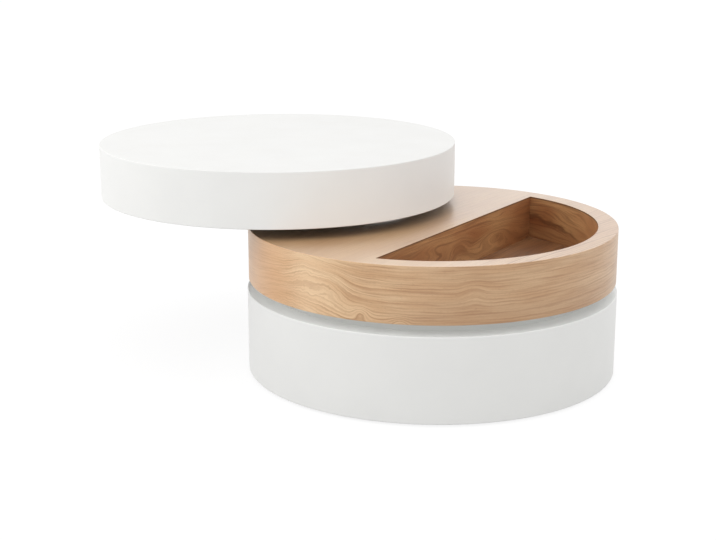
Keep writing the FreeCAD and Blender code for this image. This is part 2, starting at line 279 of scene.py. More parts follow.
def oak_face(material):
    """Veneered face of the oak drum: straight lines from the mouth to the rim, with both edges rounded."""
    _, radius, low, high = round_of("drum_top_veneer")
    rows = [(mouth_outline(0.0), low)]
    for r, z in rounding(radius - oak_edge, high - oak_edge, oak_edge, seam_angle(low), 90):
        rows.append((rim_outline(r), z))
    outer_flat, mouth_flat = rim_outline(radius - oak_edge - hold), mouth_outline(veneer_edge + hold)
    for share in np.linspace(0, 1, face_steps + 1):
        rows.append((outer_flat * (1 - share) + mouth_flat * share, high))
    for inset, z in rounding(veneer_edge, high - veneer_edge, veneer_edge, 90, 180, veneer_steps):
        rows.append((mouth_outline(inset), z))
    grid = np.stack([np.column_stack([outline, np.full(len(outline), z)]) for outline, z in rows])
    piece("oak_drum_face", grid, "drum", ["drum_top_veneer"], material, rows_close=True)


def curved_wall(material):
    """Compartment's curved lining: a section carried along the arc from end to end of the straight wall.

    Each line of the section ends on the straight wall's plane. The grain chart is the arc's length and the
    height.
    """
    low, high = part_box("compartment_liner")
    outer = mouth_radius + lining_wall
    line = section((mouth_radius, low.z), (outer, low.z), (outer, high.z), (mouth_radius, high.z))
    radius, height = line[:, :1], line[:, 1:]
    angle = np.linspace(-1, 1, lining_columns) * np.arccos(mouth_chord / radius)
    grid = np.stack([radius * np.cos(angle), radius * np.sin(angle), height * np.ones_like(angle)], 2)
    heights = np.append(line[:, 1], line[0, 1]) - low.z

    def chart(row, column):
        arc = (column / (lining_columns - 1) * 2 - 1) * mouth_corner * mouth_radius
        return np.stack([arc, heights[row.astype(int)]], 1)

    piece(
        "compartment_curved_wall", grid, "drum", ["compartment_liner"], material, chart,
        rows_close=True, columns_close=False, ends=True,
    )


def underside_screws(material, count=6):
    """Countersunk cross-head screws that hold the base's lower board.

    A head's face is a disc whose height rises inside a cross of two bars with sloping flanks; its cone, the
    shank and the point follow as one section whose rows are carried round the screw's axis.
    """
    head, cone = 0.0038, 0.0022  # radius of the head and height of its cone
    shank, point = 0.0019, 0.003  # radius of the shank and length of the point
    bar, reach, depth = 0.00055, 0.0023, 0.0012  # the cross: half a bar's width, its reach and its depth
    flank, end_flank = 0.0002, 0.0003  # widths of the slopes at a bar's sides and at its ends
    bevel = 0.0002  # bevel of the head's edge
    low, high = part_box("base_panel_screws")
    circle = high.y - head
    angle = np.linspace(-math.pi, math.pi, screw_steps, endpoint=False)
    rings = np.linspace(flank, reach + end_flank, cross_rings)
    radius = np.concatenate([[0], rings, [head - bevel]])[:, None]
    x, y = radius * np.cos(angle), radius * np.sin(angle)
    within_bars = np.clip((bar - np.minimum(abs(x), abs(y))) / flank, 0, 1)
    within_reach = np.clip((reach - np.hypot(x, y)) / end_flank, 0, 1)
    face = np.stack([x, y, low.z - screw_proud + depth * within_bars * within_reach], 2)
    rest = section((head, low.z), (shank, low.z + cone), (shank, high.z - point), (0, high.z))
    grid = np.concatenate([face, swept(rest, 0.0, screw_steps)])
    turns = [math.pi / count * (1 + 2 * k) for k in range(count)]
    places = [(circle * math.cos(turn), circle * math.sin(turn)) for turn in turns]
    piece(
        "base_underside_screws", grid, "base", ["base_panel_screws"], material,
        places=places,
    )


# ---- Finishes: helpers ----


def paint(red, green, blue):
    """Colour as a screen shows it, 0 to 255, turned by the sRGB curve into the linear values of a node."""
    shares = [value / 255 for value in (red, green, blue)]
    linear = [s / 12.92 if s <= 0.04045 else ((s + 0.055) / 1.055) ** 2.4 for s in shares]
    return (*linear, 1.0)


class Bench:
    """A node tree that is being put together."""

    def __init__(self, tree):
        self.tree = tree

    def put(self, kind, feeds=None, **settings):
        """Add a node, set it, and give each of its inputs a value or join it to a socket."""
        node = self.tree.nodes.new("ShaderNode" + kind)
        for key, value in settings.items():
            setattr(node, key, value)
        for key, value in (feeds or {}).items():
            if isinstance(value, bpy.types.NodeSocket):
                self.tree.links.new(value, node.inputs[key])
            else:
                node.inputs[key].default_value = value
        return node

    def calc(self, operation, *values, clamp=False):
        """One step of arithmetic."""
        return self.put("Math", dict(enumerate(values)), operation=operation, use_clamp=clamp).outputs[0]

    def times(self, first, *others):
        """Product of several values."""
        for other in others:
            first = self.calc("MULTIPLY", first, other)
        return first

    def vector(self, x, y, z):
        """Three values as one place."""
        return self.put("CombineXYZ", {0: x, 1: y, 2: z}).outputs[0]

    def parts(self, vector):
        """Three parts of a place, a direction or a colour."""
        return self.put("SeparateXYZ", {0: vector}).outputs

    def stretch(self, vector, x, y, z):
        """Coordinates multiplied axis by axis, so a pattern becomes that much finer along each."""
        return self.put("VectorMath", {0: vector, 1: (x, y, z)}, operation="MULTIPLY").outputs[0]

    def noise(self, vector, scale=1.0, detail=2.0, roughness=0.5):
        """Smooth noise about 0.5 with so many bumps to the metre."""
        feeds = {"Vector": vector, "Scale": scale, "Detail": detail, "Roughness": roughness}
        return self.put("TexNoise", feeds).outputs[0]

    def ramp(self, value, low, high, out_low=0.0, out_high=1.0):
        """Value taken smoothly from one range to another."""
        feeds = {0: value, 1: low, 2: high, 3: out_low, 4: out_high}
        return self.put("MapRange", feeds, interpolation_type="SMOOTHSTEP").outputs[0]

    def scale(self, value, low, high, out_low=0.0, out_high=1.0):
        """Value taken straight from one range to another."""
        return self.put("MapRange", {0: value, 1: low, 2: high, 3: out_low, 4: out_high}).outputs[0]

    def spread(self, noise, out_low=0.0, out_high=1.0):
        """A noise, which mostly lies between 0.3 and 0.7, taken to another range."""
        return self.scale(noise, 0.3, 0.7, out_low, out_high)

    def mix(self, share, first, second):
        """Colour on the way from the first to the second."""
        return self.put("Mix", {0: share, 6: first, 7: second}, data_type="RGBA").outputs[2]

    def bump(self, height, distance):
        """Normal of a surface whose unevenness is so deep, in metres."""
        return self.put("Bump", {"Strength": 1.0, "Distance": distance, "Height": height}).outputs[0]

    def facing_up(self):
        """1 where a surface looks up, 0 where it is upright and -1 where it looks down."""
        return self.parts(self.put("NewGeometry").outputs["Normal"])[2]

    def group(self, tree, feeds):
        """Place a node group and feed its inputs by name."""
        return self.put("Group", feeds, node_tree=tree).outputs


def effect(name, inputs, outputs):
    """Start a node group: its bench, its input sockets by name and a function that feeds its outputs."""
    tree = bpy.data.node_groups.new(name, "ShaderNodeTree")
    for label, kind, default in inputs:
        socket = tree.interface.new_socket(name=label, in_out="INPUT", socket_type="NodeSocket" + kind)
        if default is not None:
            socket.default_value = default
    for label in outputs:
        tree.interface.new_socket(name=label, in_out="OUTPUT", socket_type="NodeSocketFloat")
    bench = Bench(tree)
    source = tree.nodes.new("NodeGroupInput").outputs
    target = tree.nodes.new("NodeGroupOutput").inputs

    def give(**values):
        for label, value in values.items():
            tree.links.new(value, target[label])

    return tree, bench, source, give


def empty_material(name):
    """Material without any node, and its bench."""
    material = bpy.data.materials.new(name)
    material.use_nodes = True
    material.node_tree.nodes.clear()
    return material, Bench(material.node_tree)


def finish_of(name, build, **shader):
    """Material with one Principled shader.

    build(bench) returns what feeds it. shader sets the rest, with _ for the space in an input's name.
    """
    material, bench = empty_material(name)
    feeds = {key.replace("_", " "): value for key, value in shader.items()}
    feeds.update(build(bench))
    surface = bench.put("BsdfPrincipled", feeds).outputs[0]
    bench.put("OutputMaterial", {"Surface": surface})
    return material


def from_object(bench):
    """Place in the object's own metres."""
    return bench.put("TexCoord").outputs["Object"]


def from_chart(bench):
    """Place on a bent sheet in metres along and across it, as piece() charts it."""
    return bench.put("UVMap", uv_map="grain").outputs[0]


# ---- Effects that several finishes share ----


def make_swell():
    """Swelling of the stem round a branch: size times e to the minus squared distance from its middle.

    Along and across the grain the distance counts in reaches of its own. Where the size is larger than the
    reach across, the rings close into an eye.
    """
    inputs = [
        ("Grain", "Vector", None),
        ("Middle", "Vector", None),
        ("Reach", "Vector", None),
        ("Size", "Float", 0.0),
    ]
    tree, b, source, give = effect("Swell", inputs, ["Rise"])
    away = b.put("VectorMath", {0: source["Grain"], 1: source["Middle"]}, operation="SUBTRACT").outputs[0]
    away = b.put("VectorMath", {0: away, 1: source["Reach"]}, operation="DIVIDE").outputs[0]
    x, y, _ = b.parts(away)
    square = b.calc("ADD", b.calc("POWER", x, 2.0), b.calc("POWER", y, 2.0))
    give(Rise=b.times(b.calc("EXPONENT", b.times(square, -1.0)), source["Size"]))
    return tree


def make_wood_figure():
    """Growth rings, fibres and pores of a sliced veneer. X runs along the grain and Y across it, in metres.

    The rings are level lines of the distance to a pith line that lies under the sheet, the root of (height
    over the pith squared + pith depth squared), less a taper that rises smoothly past the tip. There the
    lines nest as arches, and further on they run straight. A rise lifts them over a swelling, where they also
    crinkle, and two noises make them wander and ripple.
    """
    inputs = [
        ("Grain", "Vector", None),
        ("Rise", "Float", 0.0),
        ("Crinkle", "Float", 0.0),
        ("Seed", "Float", 0.0),
        ("Tip", "Float", 0.0),
        ("Pith", "Float", 0.0),
        ("Pith Depth", "Float", 0.02),
        ("Taper", "Float", 0.1),
        ("Reach", "Float", 0.15),
        ("Ring Width", "Float", 0.005),
        ("Wander", "Float", 0.03),
        ("Wander Length", "Float", 0.5),
        ("Ripple", "Float", 0.004),
        ("Ripple Length", "Float", 0.05),
    ]
    tree, b, source, give = effect("Wood figure", inputs, ["Rings", "Fibres", "Pores", "Tone"])
    x, y, z = b.parts(source["Grain"])
    z = b.calc("ADD", z, source["Seed"])

    def waves(length, flatness, detail, roughness):
        """Noise about 0 with bumps of a length along the grain, and of length times flatness across it."""
        along = b.calc("DIVIDE", x, length)
        across = b.calc("DIVIDE", y, b.times(length, flatness))
        return b.calc("SUBTRACT", b.noise(b.vector(along, across, z), 1.0, detail, roughness), 0.5)

    wander = waves(source["Wander Length"], 0.3, 1.5, 0.45)
    ripple = waves(source["Ripple Length"], 0.35, 2.0, 0.55)
    folds_along, folds_across = 85.0, 90.0  # crinkles per metre
    folds = b.noise(b.vector(b.times(x, folds_along), b.times(y, folds_across), z))
    fold = b.times(b.calc("SUBTRACT", folds, 0.5), source["Crinkle"], source["Rise"])
    over = b.calc("SUBTRACT", b.calc("SUBTRACT", y, source["Pith"]), source["Rise"])
    over = b.calc("ADD", over, fold)
    over = b.calc("MULTIPLY_ADD", wander, source["Wander"], over)
    over = b.calc("MULTIPLY_ADD", ripple, source["Ripple"], over)
    square = b.calc("ADD", b.calc("POWER", over, 2.0), b.calc("POWER", source["Pith Depth"], 2.0))
    away = b.calc("SQRT", square)
    past = b.calc("TANH", b.calc("DIVIDE", b.calc("SUBTRACT", x, source["Tip"]), source["Reach"]))
    rise = b.times(source["Taper"], source["Reach"], past)
    count = b.calc("DIVIDE", b.calc("SUBTRACT", away, rise), source["Ring Width"])
    slip = b.noise(b.stretch(source["Grain"], 2.5, 22.0, 1.0), 1.0, 1.0)
    count = b.calc("ADD", count, b.scale(slip, 0, 1, 0, 2.4))
    within = b.calc("FRACT", count)
    own = b.put("TexWhiteNoise", {"W": b.calc("FLOOR", count)}, noise_dimensions="1D").outputs[0]
    edge = b.times(b.ramp(within, 0.2, 0.88), b.ramp(within, 0.9, 1.0, 1.0, 0.0))
    lines = b.vector(x, over, z)
    fade = b.ramp(b.noise(b.stretch(lines, 6.0, 60.0, 1.0), 1.0, 2.0), 0.36, 0.6, 0.4)
    fade = b.calc("MAXIMUM", fade, b.ramp(source["Rise"], 0.01, 0.035, 0.0, 0.95))
    rings = b.times(edge, b.scale(own, 0, 1, 0.25, 1.0), fade)
    fibres = b.noise(b.stretch(lines, 9.0, 330.0, 330.0), 1.0, 3.0, 0.6)
    dashes = b.noise(b.stretch(source["Grain"], 150.0, 2100.0, 900.0), 1.0, 1.0, 0.5)
    pores = b.times(b.ramp(dashes, 0.6, 0.7), b.scale(within, 0, 1, 1.0, 0.35))
    broad_x = b.calc("DIVIDE", x, b.times(source["Ripple Length"], 3.0))
    broad_y = b.calc("DIVIDE", over, b.times(source["Ring Width"], 4.0))
    tone = b.noise(b.vector(broad_x, broad_y, z), 1.0, 2.0, 0.5)
    give(Rings=rings, Fibres=fibres, Pores=pores, Tone=tone)
    return tree


def make_spray_film():
    """Sprayed lacquer: a fine orange-peel ripple, a slow unevenness of its gloss and a few fine rub marks."""
    inputs = [("Place", "Vector", None), ("Peel Size", "Float", 0.0022)]
    tree, b, source, give = effect("Spray film", inputs, ["Height", "Gloss", "Rubs"])
    peel = b.calc("DIVIDE", 1.0, source["Peel Size"])
    height = b.noise(source["Place"], peel, 2.0, 0.45)
    gloss = b.noise(source["Place"], 9.0, 3.0, 0.55)
    long_marks = b.noise(b.stretch(source["Place"], 9.0, 420.0, 420.0), 1.0, 2.0, 0.6)
    cross_marks = b.noise(b.stretch(source["Place"], 360.0, 12.0, 360.0), 1.0, 2.0, 0.6)
    rubs = b.calc("MAXIMUM", b.ramp(long_marks, 0.66, 0.74), b.ramp(cross_marks, 0.67, 0.75))
    give(Height=height, Gloss=gloss, Rubs=rubs)
    return tree


def make_settled_dust():
    """Thin dust: 1 on faces that look up, broken up by a soft noise, and 0 on upright and hidden faces."""
    inputs = [("Place", "Vector", None), ("Amount", "Float", 0.1)]
    tree, b, source, give = effect("Settled dust", inputs, ["Dust"])
    facing = b.ramp(b.facing_up(), 0.6, 0.98)
    patches = b.ramp(b.noise(source["Place"], 14.0, 4.0, 0.65), 0.3, 0.8)
    specks = b.ramp(b.noise(source["Place"], 900.0, 1.0, 0.5), 0.62, 0.72)
    cover = b.calc("ADD", b.times(patches, 0.6), b.times(specks, 0.6), clamp=True)
    give(Dust=b.times(facing, cover, source["Amount"]))
    return tree


swell = make_swell()
wood_figure = make_wood_figure()
spray_film = make_spray_film()
settled_dust = make_settled_dust()

# ---- Finishes ----


def white_lacquer(b, low=paint(236, 236, 234), high=paint(239, 239, 237)):
    """Satin white lacquer whose colour and gloss waver a little, with dust and a few rub marks."""
    place = from_object(b)
    film = b.group(spray_film, {"Place": place, "Peel Size": 0.0024})
    dust = b.group(settled_dust, {"Place": place, "Amount": 0.25})["Dust"]
    coat = b.mix(b.spread(film["Gloss"]), low, high)
    coat = b.mix(dust, coat, paint(226, 223, 217))
    rough = b.spread(film["Gloss"], 0.36, 0.43)
    rough = b.calc("ADD", rough, b.times(b.calc("ADD", dust, film["Rubs"]), 0.05))
    return {"Base Color": coat, "Roughness": rough, "Normal": b.bump(film["Height"], 0.00002)}


def veneer(
    coordinates, turn, figure, wood_colours, strength,
    shade=None, force=None, swells=(),
):
    """Builder of a veneer: figure sets how the wood grew, strength how dark its rings are.

    turn orders the coordinates as along the grain, across it and through the sheet. shade(bench, place,
    colour) changes the colour from place to place, by tones of the wood and by painted light and shade, and
    force(bench) its rings' darkness from place to place. swells are where branches lift the rings.
    """
    light, dark, warm = wood_colours

    def build(b):
        place = from_object(b)
        grain = coordinates(b)
        if turn:
            parts = b.parts(grain)
            grain = b.vector(*[parts[k] for k in turn])
        rise = 0.0
        for x, y, along, across, size in swells:
            feeds = {"Grain": grain, "Middle": (x, y, 0.0), "Reach": (along, across, 1.0), "Size": size}
            rise = b.calc("ADD", rise, b.group(swell, feeds)["Rise"])
        wood = b.group(wood_figure, {"Grain": grain, "Rise": rise, **figure})
        film = b.group(spray_film, {"Place": place, "Peel Size": 0.0016})
        dust = b.group(settled_dust, {"Place": place, "Amount": 0.12})["Dust"]
        colour = b.mix(b.ramp(wood["Tone"], 0.34, 0.66), light, warm)
        rings = b.times(wood["Rings"], strength)
        if force:
            rings = b.calc("MULTIPLY", rings, force(b), clamp=True)
        colour = b.mix(rings, colour, dark)
        colour = b.mix(b.ramp(wood["Fibres"], 0.42, 0.72, 0.0, 0.3 + 0.55 * strength), colour, dark)
        colour = b.mix(b.times(wood["Pores"], 0.45), colour, b.mix(0.45, dark, paint(0, 0, 0)))
        if shade:
            colour = shade(b, place, colour)
        colour = b.mix(dust, colour, paint(205, 197, 186))
        height = b.calc("MULTIPLY_ADD", wood["Fibres"], 0.35, b.times(wood["Pores"], -1.0))
        height = b.calc("MULTIPLY_ADD", film["Height"], 0.25, height)
        rough = b.spread(film["Gloss"], 0.39, 0.46)
        rough = b.calc("MULTIPLY_ADD", wood["Pores"], 0.15, rough)
        rough = b.calc("MULTIPLY_ADD", film["Rubs"], 0.04, rough)
        return {"Base Color": colour, "Roughness": rough, "Normal": b.bump(height, 0.00006)}

    return build


def plain_end(b):
    """Fainter rings on the side's sheet past its swelling and towards its upper edge."""
    along, up, _ = b.parts(from_chart(b))
    return b.times(b.ramp(along, -0.73, -0.63, 0.25), b.ramp(up, 0.066, 0.094, 1.0, 0.5))


def bold_rim(b):
    """Darker rings on the narrow rim at the far end of the drum's face."""
    return b.ramp(b.parts(from_object(b))[0], 0.16, 0.32, 1.0, 4.5)


def side_tones(b, place, colour):
    """Tones along the side's sheet: yellower at its plain end, lighter over the swelling, then browner.

    The brown is deepest in the sheet's lower half.
    """
    along, up, _ = b.parts(from_chart(b))
    colour = b.mix(b.ramp(along, -0.71, -0.61, 0.55, 0.0), colour, paint(210, 154, 100))
    pale = b.times(b.ramp(along, -0.66, -0.6, 0.0, 0.3), b.ramp(along, -0.6, -0.52, 1.0, 0.0))
    colour = b.mix(pale, colour, paint(252, 220, 180))
    browner = b.times(b.ramp(along, -0.6, -0.3, 0.0, 0.36), b.ramp(along, -0.1, 0.1, 1.0, 0.6))
    lower = b.times(b.ramp(up, 0.01, 0.06, 0.16, 0.0), b.ramp(along, -0.5, -0.35))
    return b.mix(b.calc("ADD", browner, lower), colour, paint(154, 112, 80))


def face_painted_light(b, place, colour):
    """Painted light on the drum's face: a painted sheen lightens the near part of its rim and, paler, the
    part far off; painted warm bounce light makes the closed side near by yellower.
    """
    x, y, _ = b.parts(place)
    # painted sheen on the near rim, painted warm bounce light in the shade by the top, painted sheen far off
    rim = b.times(b.ramp(y, -0.32, -0.18, 0.55, 0.0), b.ramp(x, -0.04, 0.1))
    closed = b.times(b.ramp(y, -0.1, 0.05, 0.5, 0.0), b.ramp(x, -0.02, 0.1, 1.0, 0.0))
    far = b.times(b.ramp(y, 0.02, 0.2, 0.0, 0.4), b.ramp(x, 0.0, 0.25, 1.0, 0.3))
    colour = b.mix(rim, colour, paint(244, 216, 186))
    colour = b.mix(closed, colour, paint(214, 168, 116))
    return b.mix(far, colour, paint(220, 194, 172))


def edge_shade(b, place, colour):
    """Painted shade along the upper edge of the compartment's lining, where the face veneer ends over it."""
    line_low, line_high = 0.2798, 0.2824
    line = b.ramp(b.parts(place)[2], line_low, line_high, 0.0, 0.75)
    return b.mix(line, colour, paint(74, 52, 30))


def curved_light_and_streak(b, place, colour):
    """Painted light along the middle of the curved lining, and at one end a dark streak over redder wood.

    The streak falls away from the end, wavers with a noise and fades out where the painted light begins.
    """
    chart = from_chart(b)
    along, up, _ = b.parts(chart)
    # painted light: the middle of the lining is made lighter; the streak and redder wood below are the wood's
    # own
    pale = b.times(b.ramp(along, -0.3, -0.1), b.ramp(along, 0.16, 0.34, 0.4, 0.0))
    colour = b.mix(pale, colour, paint(236, 180, 126))
    waver = b.scale(b.noise(b.stretch(chart, 30.0, 110.0, 1.0)), 0, 1, -0.012, 0.012)
    over = b.calc("SUBTRACT", b.calc("ADD", up, waver), b.scale(along, 0.28, 0.41, 0.026, 0.046))
    redder = b.times(b.ramp(over, -0.004, 0.004, 0.35, 0.0), b.ramp(along, 0.2, 0.3))
    colour = b.mix(redder, colour, paint(122, 58, 26))
    close = b.ramp(b.calc("ABSOLUTE", over), 0.001, 0.007, 0.5, 0.0)
    streak = b.times(close, b.ramp(along, 0.26, 0.31))
    return edge_shade(b, place, b.mix(streak, colour, paint(76, 42, 20)))


def greyed_gap_primer(b):
    """White primer under a thin coat, as on a hidden face, greyer than the lacquer as painted shade on the
    ring in the lower gap.
    """
    return white_lacquer(b, paint(207, 207, 204), paint(211, 211, 208))


def gap_lit_lacquer(b):
    """White lacquer on a board whose flat faces the next drum covers; they are glossier, and get painted
    light: a whiter colour that lifts the shade of the lower gap.
    """
    made = white_lacquer(b)
    flat = b.ramp(b.calc("ABSOLUTE", b.facing_up()), 0.97, 0.995)
    cloud = b.noise(from_object(b), 9.0, 3.0, 0.55)
    # painted light: a whiter colour on the flat faces inside the lower gap
    painted_gap_white = b.mix(b.spread(cloud), paint(249, 249, 247), paint(251, 251, 249))
    made["Base Color"] = b.mix(flat, made["Base Color"], painted_gap_white)
    made["Roughness"] = b.calc("MULTIPLY_ADD", flat, -0.2, made["Roughness"])
    return made


def dark_backed_below(b):
    """White lacquer on a board whose underside has brown backing paper instead, made dark as painted shade
    that deepens the shadow under the top.
    """
    made = white_lacquer(b)
    paper = b.ramp(b.facing_up(), -0.995, -0.97, 1.0, 0.0)
    pulp = b.noise(b.stretch(from_object(b), 60.0, 260.0, 60.0), 1.0, 4.0, 0.7)
    # painted shade: the backing paper is made dark to deepen the shadow in the gap below the top
    dark_shading_paper = b.mix(b.spread(pulp), paint(54, 43, 34), paint(68, 55, 43))
    made["Base Color"] = b.mix(paper, made["Base Color"], dark_shading_paper)
    made["Roughness"] = b.calc("ADD", made["Roughness"], b.times(paper, 0.35))
    return made


def fibreboard(b):
    """Raw board of pressed fibres: lighter flakes, darker fluff and a rough cut."""
    place = from_object(b)
    fluff = b.noise(place, 700.0, 4.0, 0.7)
    flakes = b.noise(b.stretch(place, 160.0, 240.0, 900.0), 1.0, 3.0, 0.6)
    colour = b.mix(b.spread(flakes), paint(168, 133, 96), paint(192, 158, 118))
    colour = b.mix(b.ramp(fluff, 0.5, 0.75, 0.0, 0.5), colour, paint(136, 104, 72))
    rough = b.scale(fluff, 0, 1, 0.75, 0.95)
    return {"Base Color": colour, "Roughness": rough, "Normal": b.bump(fluff, 0.0001)}


def zinc_sheet(b):
    """Zinc-plated sheet: crystals in the zinc and fine marks from drawing."""
    place = from_object(b)
    cells = b.put("TexVoronoi", {"Vector": place, "Scale": 220.0}).outputs["Color"]
    spangle = b.parts(cells)[0]
    drawn = b.noise(b.stretch(place, 60.0, 60.0, 1400.0), 1.0, 3.0, 0.6)
    colour = b.mix(b.scale(spangle, 0, 1), paint(188, 192, 198), paint(206, 208, 210))
    colour = b.mix(b.ramp(drawn, 0.5, 0.8, 0.0, 0.3), colour, paint(160, 158, 150))
    rough = b.calc("MULTIPLY_ADD", drawn, 0.2, b.scale(spangle, 0, 1, 0.24, 0.32))
    return {"Base Color": colour, "Roughness": rough, "Normal": b.bump(drawn, 0.00003)}


def polished_steel(b):
    """Polished steel with a fine swirl from tumbling."""
    swirl = b.noise(from_object(b), 1800.0, 3.0, 0.6)
    colour = b.mix(b.spread(swirl), paint(200, 202, 206), paint(214, 215, 217))
    return {"Base Color": colour, "Roughness": b.spread(swirl, 0.06, 0.14)}


def bright_zinc(b):
    """Bright zinc plating with a slight tarnish and turning marks."""
    place = from_object(b)
    film = b.noise(place, 260.0, 3.0, 0.6)
    turned = b.noise(b.stretch(place, 300.0, 300.0, 4200.0), 1.0, 2.0, 0.6)
    colour = b.mix(b.spread(film), paint(184, 192, 204), paint(208, 206, 196))
    rough = b.spread(turned, 0.2, 0.36)
    return {"Base Color": colour, "Roughness": rough, "Normal": b.bump(turned, 0.00002)}


def moulded(dark, light, low, high):
    """Builder of a moulded plastic with a fine spark-eroded texture, its roughness from low to high."""

    def build(b):
        film = b.group(spray_film, {"Place": from_object(b), "Peel Size": 0.0005})
        colour = b.mix(b.spread(film["Gloss"]), dark, light)
        rough = b.spread(film["Height"], low, high)
        return {"Base Color": colour, "Roughness": rough, "Normal": b.bump(film["Height"], 0.00003)}

    return build


def grown(tip, pith, pith_depth, taper, reach, ring_width, wander, ripple, crinkle=0.0, seed=0.0):
    """How a veneer's tree grew, in metres, for the wood figure; wander and ripple are (size, length)."""
    return {
        "Crinkle": crinkle,
        "Seed": seed,
        "Tip": tip,
        "Pith": pith,
        "Pith Depth": pith_depth,
        "Taper": taper,
        "Reach": reach,
        "Ring Width": ring_width,
        "Wander": wander[0],
        "Wander Length": wander[1],
        "Ripple": ripple[0],
        "Ripple Length": ripple[1],
    }


side_figure = grown(
    tip=0.0, pith=-0.09, pith_depth=0.005, taper=0.0, reach=1.0, ring_width=0.006,
    wander=(0.014, 0.4), ripple=(0.005, 0.05), crinkle=0.3,
)
face_figure = grown(
    tip=0.02, pith=-0.16, pith_depth=0.03, taper=0.14, reach=0.3, ring_width=0.0075,
    wander=(0.05, 0.6), ripple=(0.006, 0.07),
)
wall_figure = grown(
    tip=0.0, pith=0.05, pith_depth=0.01, taper=0.0, reach=1.0, ring_width=0.017,
    wander=(0.05, 0.2), ripple=(0.014, 0.07), crinkle=0.1,
)
curved_figure = grown(
    tip=0.1, pith=0.045, pith_depth=0.02, taper=0.25, reach=0.12, ring_width=0.011,
    wander=(0.06, 0.25), ripple=(0.01, 0.06), seed=3.0,
)
floor_figure = grown(
    tip=0.05, pith=0.2, pith_depth=0.03, taper=0.2, reach=0.2, ring_width=0.008,
    wander=(0.06, 0.3), ripple=(0.006, 0.06),
)

# Each swell is its middle along and across the grain, its reach along and across, and its size.
side_swells = [
    (-0.66, -0.01, 0.1, 0.09, 0.03),
    (-0.61, 0.072, 0.036, 0.034, 0.024),
    (-0.555, 0.058, 0.034, 0.034, 0.024),
    (-0.495, 0.014, 0.014, 0.012, 0.015),
    (-0.425, 0.003, 0.014, 0.01, 0.012),
    (-0.3, 0.055, 0.02, 0.025, 0.008),
]
wall_swells = [
    (-0.085, 0.258, 0.04, 0.016, 0.024),
    (0.0, 0.235, 0.05, 0.03, 0.026),
    (0.16, 0.236, 0.07, 0.018, 0.026),
]

# Each wood is its light, dark and warm colour.
oak = (paint(233, 198, 156), paint(164, 116, 74), paint(221, 180, 136))
face_oak = (paint(224, 188, 150), paint(176, 134, 96), paint(212, 174, 140))
brown = (paint(204, 156, 106), paint(112, 66, 36), paint(164, 108, 66))
floor_brown = (paint(164, 116, 76), paint(90, 56, 32), paint(142, 94, 56))


def veneer_finish(name, *wood, coat=0.4, **more):
    """Lacquered veneer; the names after the coat are those of veneer."""
    return finish_of(name, veneer(*wood, **more), IOR=1.5, Coat_Weight=coat, Coat_Roughness=0.3)


lacquer = finish_of("white lacquer", white_lacquer, IOR=1.5)
# the plinth ring's primer is greyed as painted shade in the lower gap
primer = finish_of("white primer, painted shade", greyed_gap_primer, IOR=1.5)
gap_lit_finish = finish_of("white lacquer, painted gap light", gap_lit_lacquer, IOR=1.5)
dark_backed_finish = finish_of("white lacquer, dark underside, painted shade", dark_backed_below, IOR=1.5)
oak_side_finish = veneer_finish(
    "oak veneer, side", from_chart, None, side_figure, oak, 0.55,
    shade=side_tones, force=plain_end, swells=side_swells,
)
oak_face_finish = veneer_finish(
    "oak veneer, face", from_object, (1, 0, 2), face_figure, face_oak, 0.32,
    coat=1.0, shade=face_painted_light, force=bold_rim,
)
wall_finish = veneer_finish(
    "brown veneer, straight wall", from_object, (1, 2, 0), wall_figure, brown, 0.5,
    shade=edge_shade, swells=wall_swells,
)
curved_finish = veneer_finish(
    "brown veneer, curved wall", from_chart, None, curved_figure, brown, 0.5, shade=curved_light_and_streak
)
floor_finish = veneer_finish("brown veneer, floor", from_object, (1, 0, 2), floor_figure, floor_brown, 0.6)
board_finish = finish_of("raw fibreboard", fibreboard, IOR=1.45)
sheet_finish = finish_of("zinc-plated sheet", zinc_sheet, Metallic=1.0)
ball_finish = finish_of("polished steel", polished_steel, Metallic=1.0)
fastener_finish = finish_of("bright zinc", bright_zinc, Metallic=1.0)
nylon = moulded(paint(222, 219, 208), paint(230, 228, 218), 0.4, 0.5)
nylon_finish = finish_of("natural nylon", nylon, IOR=1.53)
glide_plastic = moulded(paint(38, 38, 40), paint(48, 48, 50), 0.42, 0.56)
glide_finish = finish_of("glide plastic", glide_plastic, IOR=1.49)

by_slot = {
    "white_lacquer": lacquer,
    "oak_veneer": oak_side_finish,
    "brown_veneer": wall_finish,
    "fibreboard": board_finish,
    "pressed_steel": sheet_finish,
    "ball_steel": ball_finish,
    "zinc_fasteners": fastener_finish,
    "nylon": nylon_finish,
    "glide_plastic": glide_finish,
}
for subpart in frame["record"]["subparts"]:
    for holder in nodes[subpart["node"]].material_slots:
        holder.material = by_slot[subpart["material_slot"]]
nodes["compartment_floor"].material_slots[0].material = floor_finish
nodes["drum_bottom_panel"].material_slots[0].material = gap_lit_finish

# ---- Pieces ----

face_board("white_top_face", "top_face_panel", "top", lacquer)
side_hoop("white_top_side", "top_hoop", hoop_wall, "top", lacquer)
under_board("white_top_underside", "top_bottom_panel", "top", dark_backed_finish)
face_board("white_base_face", "base_top_panel", "base", gap_lit_finish)
side_hoop("white_base_side", "base_hoop", hoop_wall, "base", lacquer)
side_hoop("white_plinth_ring", "base_plinth_ring", plinth_wall, "base", primer)
under_board("white_base_underside", "base_bottom_panel", "base", lacquer)
underside_screws(fastener_finish)
oak_side(oak_side_finish)
oak_face(oak_face_finish)
curved_wall(curved_finish)

# ---- Camera ----

picture_width, focal_length = 716, 1422.7  # in pixels
sensor_width = 36.0  # in millimetres
camera_dip, camera_turn = 0.2553, 0.5596  # downwards from level, and from +Y towards -X, in radians

